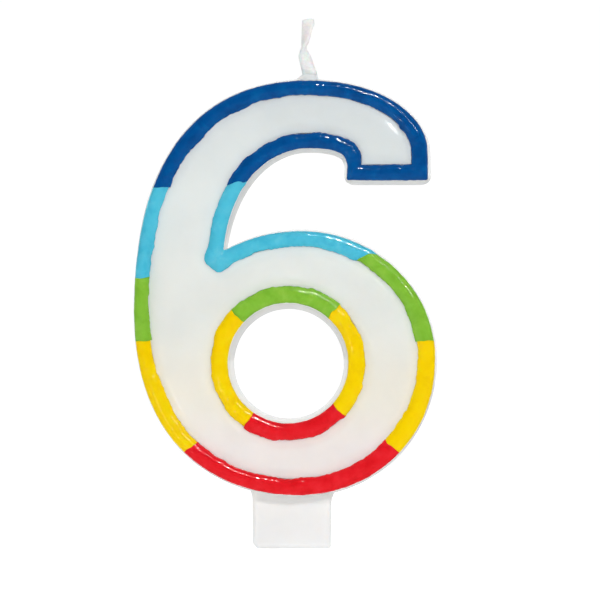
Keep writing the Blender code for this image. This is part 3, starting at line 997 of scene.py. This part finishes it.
def make_wick(material):
    """The plaited flat wick: held in the casting, waxed at its foot, twisted once, and cut askew."""
    heights, *columns = np.array(WICK_SECTIONS).T
    top = heights[-1]
    z = np.linspace(heights[0], top, round((top - heights[0]) / WICK_STEP))
    angle = np.arange(WICK_SIDES) * math.tau / WICK_SIDES
    across = np.sign(np.cos(angle)) * np.abs(np.cos(angle)) ** 0.8
    out = np.sign(np.sin(angle)) * np.abs(np.sin(angle)) ** 0.7
    cut = np.interp(-across, *np.array(WICK_CUT).T)
    shell = Shell()
    rows = []
    for level, x, wide, thick, turned in zip(z, *(blurred(z, heights, column) for column in columns)):
        chevron = np.abs(np.sin(math.pi * (level / STITCH + 0.55 * np.abs(across) * np.sign(out + 1e-9))))
        plait = 0.055 * chevron ** 0.8 + 0.02 * np.cos(3 * math.pi * across)
        soaked = np.clip((level - 83.4) / 1.2, 0.25, 1)
        fuzz = np.array([noise.noise(Vector((a * 3, o * 3, level * 3))) for a, o in zip(across, out)]) * FUZZ
        depth = out * (thick - 0.05 + (plait * soaked + fuzz))
        side = across * (wide - 0.04 + fuzz + 0.03 * chevron * soaked)
        turn = math.radians(turned)
        rise = np.clip((level - WICK_CUT_START) / (top - WICK_CUT_START), 0, 1) ** 1.5
        height = level + (cut - top) * rise + (0.05 * fuzz / FUZZ if level == top else 0)
        row_x = (x + side * math.cos(turn) - depth * math.sin(turn)) * MM
        row_y = PIVOT.y + (side * math.sin(turn) + depth * math.cos(turn)) * MM
        rows.append(shell.row(row_x, row_y, height * MM))
    # The cut end, drawn in ring by ring so that it can be rough.
    rim = np.array([shell.points[i] for i in rows[-1]])
    middle = rim.mean(axis=0)
    for share in (0.85, 0.65, 0.42, 0.2):
        ring = middle + (rim - middle) * (share, share, 1)
        ring[:, 2] += np.array([noise.noise(Vector(p) * 6 / MM) for p in ring]) * 0.06 * MM - 0.02 * MM
        rows.append(shell.row(*ring.T))
    shell.tube(rows)
    return new_object("wick", shell.mesh("wick"), material)


# ---------------------------------------------------------------- floor, light and camera

def floor():
    """A pale matt table that looks white, and sheds less light than that, most of it near the candle."""
    bpy.ops.mesh.primitive_plane_add(size=60, location=(0, 0, BODY_LOW.z))
    plane = bpy.context.object
    plane.name = "floor"
    nodes = Nodes("lit_table")
    grain = nodes.ramp(nodes.noise(40 * MM, 3), ((0.3, (0.49, 0.49, 0.49)), (0.7, (0.51, 0.51, 0.51))))
    nodes.link(grain, nodes.shader.inputs["Base Color"])
    nodes.set(Roughness=0.9, Specular_IOR_Level=0.0)
    reach = nodes.add("ShaderNodeVectorMath", operation="LENGTH")
    nodes.link(nodes.place, reach.inputs[0])
    strength = nodes.add("ShaderNodeMix")
    strength.inputs[3].default_value = FLOOR_SEEN
    nodes.link(nodes.add("ShaderNodeLightPath").outputs["Is Camera Ray"], strength.inputs[0])
    nodes.link(nodes.span(reach.outputs["Value"], *FLOOR_FADE, *FLOOR_SHED), strength.inputs[2])
    nodes.link(strength.outputs[0], nodes.shader.inputs["Emission Strength"])
    nodes.shader.inputs["Emission Color"].default_value = (1, 1, 1, 1)
    plane.data.materials.append(nodes.material)


def softbox(name, towards, distance, size, power, glint):
    """A lamp in some direction from the candle, for its light or, as a glint, for its reflection."""
    light = bpy.data.lights.new(name, "AREA")
    light.shape = "RECTANGLE"
    light.size, light.size_y = size
    light.energy = power
    lamp = bpy.data.objects.new(name, light)
    bpy.context.scene.collection.objects.link(lamp)
    direction = Vector(towards).normalized()
    lamp.location = Vector((0, 0, (BODY_LOW.z + BODY_HIGH.z) / 2)) + direction * distance
    lamp.visible_glossy = glint
    lamp.visible_diffuse = not glint
    lamp.rotation_euler = direction.to_track_quat("Z", "Y").to_euler()


def world():
    """A white room, which sheds less light from the camera's side than from behind the candle."""
    made = bpy.data.worlds.new("studio")
    bpy.context.scene.world = made
    made.use_nodes = True
    tree = made.node_tree
    backdrop = tree.nodes["Background"]
    backdrop.inputs["Color"].default_value = (1, 1, 1, 1)
    direction = tree.nodes.new("ShaderNodeTexCoord")
    parts = tree.nodes.new("ShaderNodeSeparateXYZ")
    shed = tree.nodes.new("ShaderNodeMapRange")
    for socket, value in zip(("From Min", "From Max", "To Min", "To Max"), (-0.7, 0.7, *ROOM_SHED)):
        shed.inputs[socket].default_value = value
    path = tree.nodes.new("ShaderNodeLightPath")
    strength = tree.nodes.new("ShaderNodeMix")
    strength.inputs[3].default_value = ROOM_SEEN
    tree.links.new(direction.outputs["Generated"], parts.inputs[0])
    tree.links.new(parts.outputs["Y"], shed.inputs["Value"])
    tree.links.new(path.outputs["Is Camera Ray"], strength.inputs[0])
    tree.links.new(shed.outputs["Result"], strength.inputs[2])
    tree.links.new(strength.outputs[0], backdrop.inputs["Strength"])


def camera():
    """A long lens in front of the candle, a little to its right and a little below its middle."""
    lens = bpy.data.cameras.new("camera")
    lens.lens, lens.sensor_width = 400, 36
    lens.clip_start, lens.clip_end = 0.05, 100
    eye = bpy.data.objects.new("camera", lens)
    bpy.context.scene.collection.objects.link(eye)
    level = math.cos(ELEVATION)
    away = Vector((math.sin(AZIMUTH) * level, -math.cos(AZIMUTH) * level, math.sin(ELEVATION)))
    eye.location = TARGET + away * DISTANCE
    eye.rotation_euler = away.to_track_quat("Z", "Y").to_euler()
    bpy.context.scene.camera = eye


# ---------------------------------------------------------------- the candle on its table

outer, inner, centre, ring_outer, ring_inner = read_outline()
casting = white_wax()
body, back_depth = make_body(outer, inner, centre, ring_outer, ring_inner, casting)
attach(body, "candle")
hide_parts("wax_body")

wax = {slot: colored_wax(slot, *tones) for slot, tones in COLORS.items()}
slots = {part["node"]: part["material_slot"] for part in frame["record"]["subparts"]}
outline_names, counter_names = (
    [name for name in slots if name.startswith(start)] for start in ("outline_", "counter_")
)
runs = list(outline_runs(outer, inner, outline_names))
runs += list(ring_runs(centre, ring_outer, ring_inner, counter_names))
for name, outside, inside_points in runs:
    bead = make_bead(name + "_wax", outside, inside_points, SWELLS.get(name, (0, 0)), wax[slots[name]])
    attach(bead, "candle")
    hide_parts(name)

join(body, [make_tab(back_depth, casting), make_collar(casting)])

wick = make_wick(wick_cotton())
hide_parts("wick_core", "wick_free_end")
bend_start, bend_end = (PIVOT + Vector((0, 0, rise)) for rise in BEND_SPAN)
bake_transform(wick)
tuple(bend_start)
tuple(bend_end)

floor()
world()
for name, settings in LAMPS.items():
    softbox(name, *settings)
camera()
bpy.context.scene.view_settings.view_transform = "Standard"
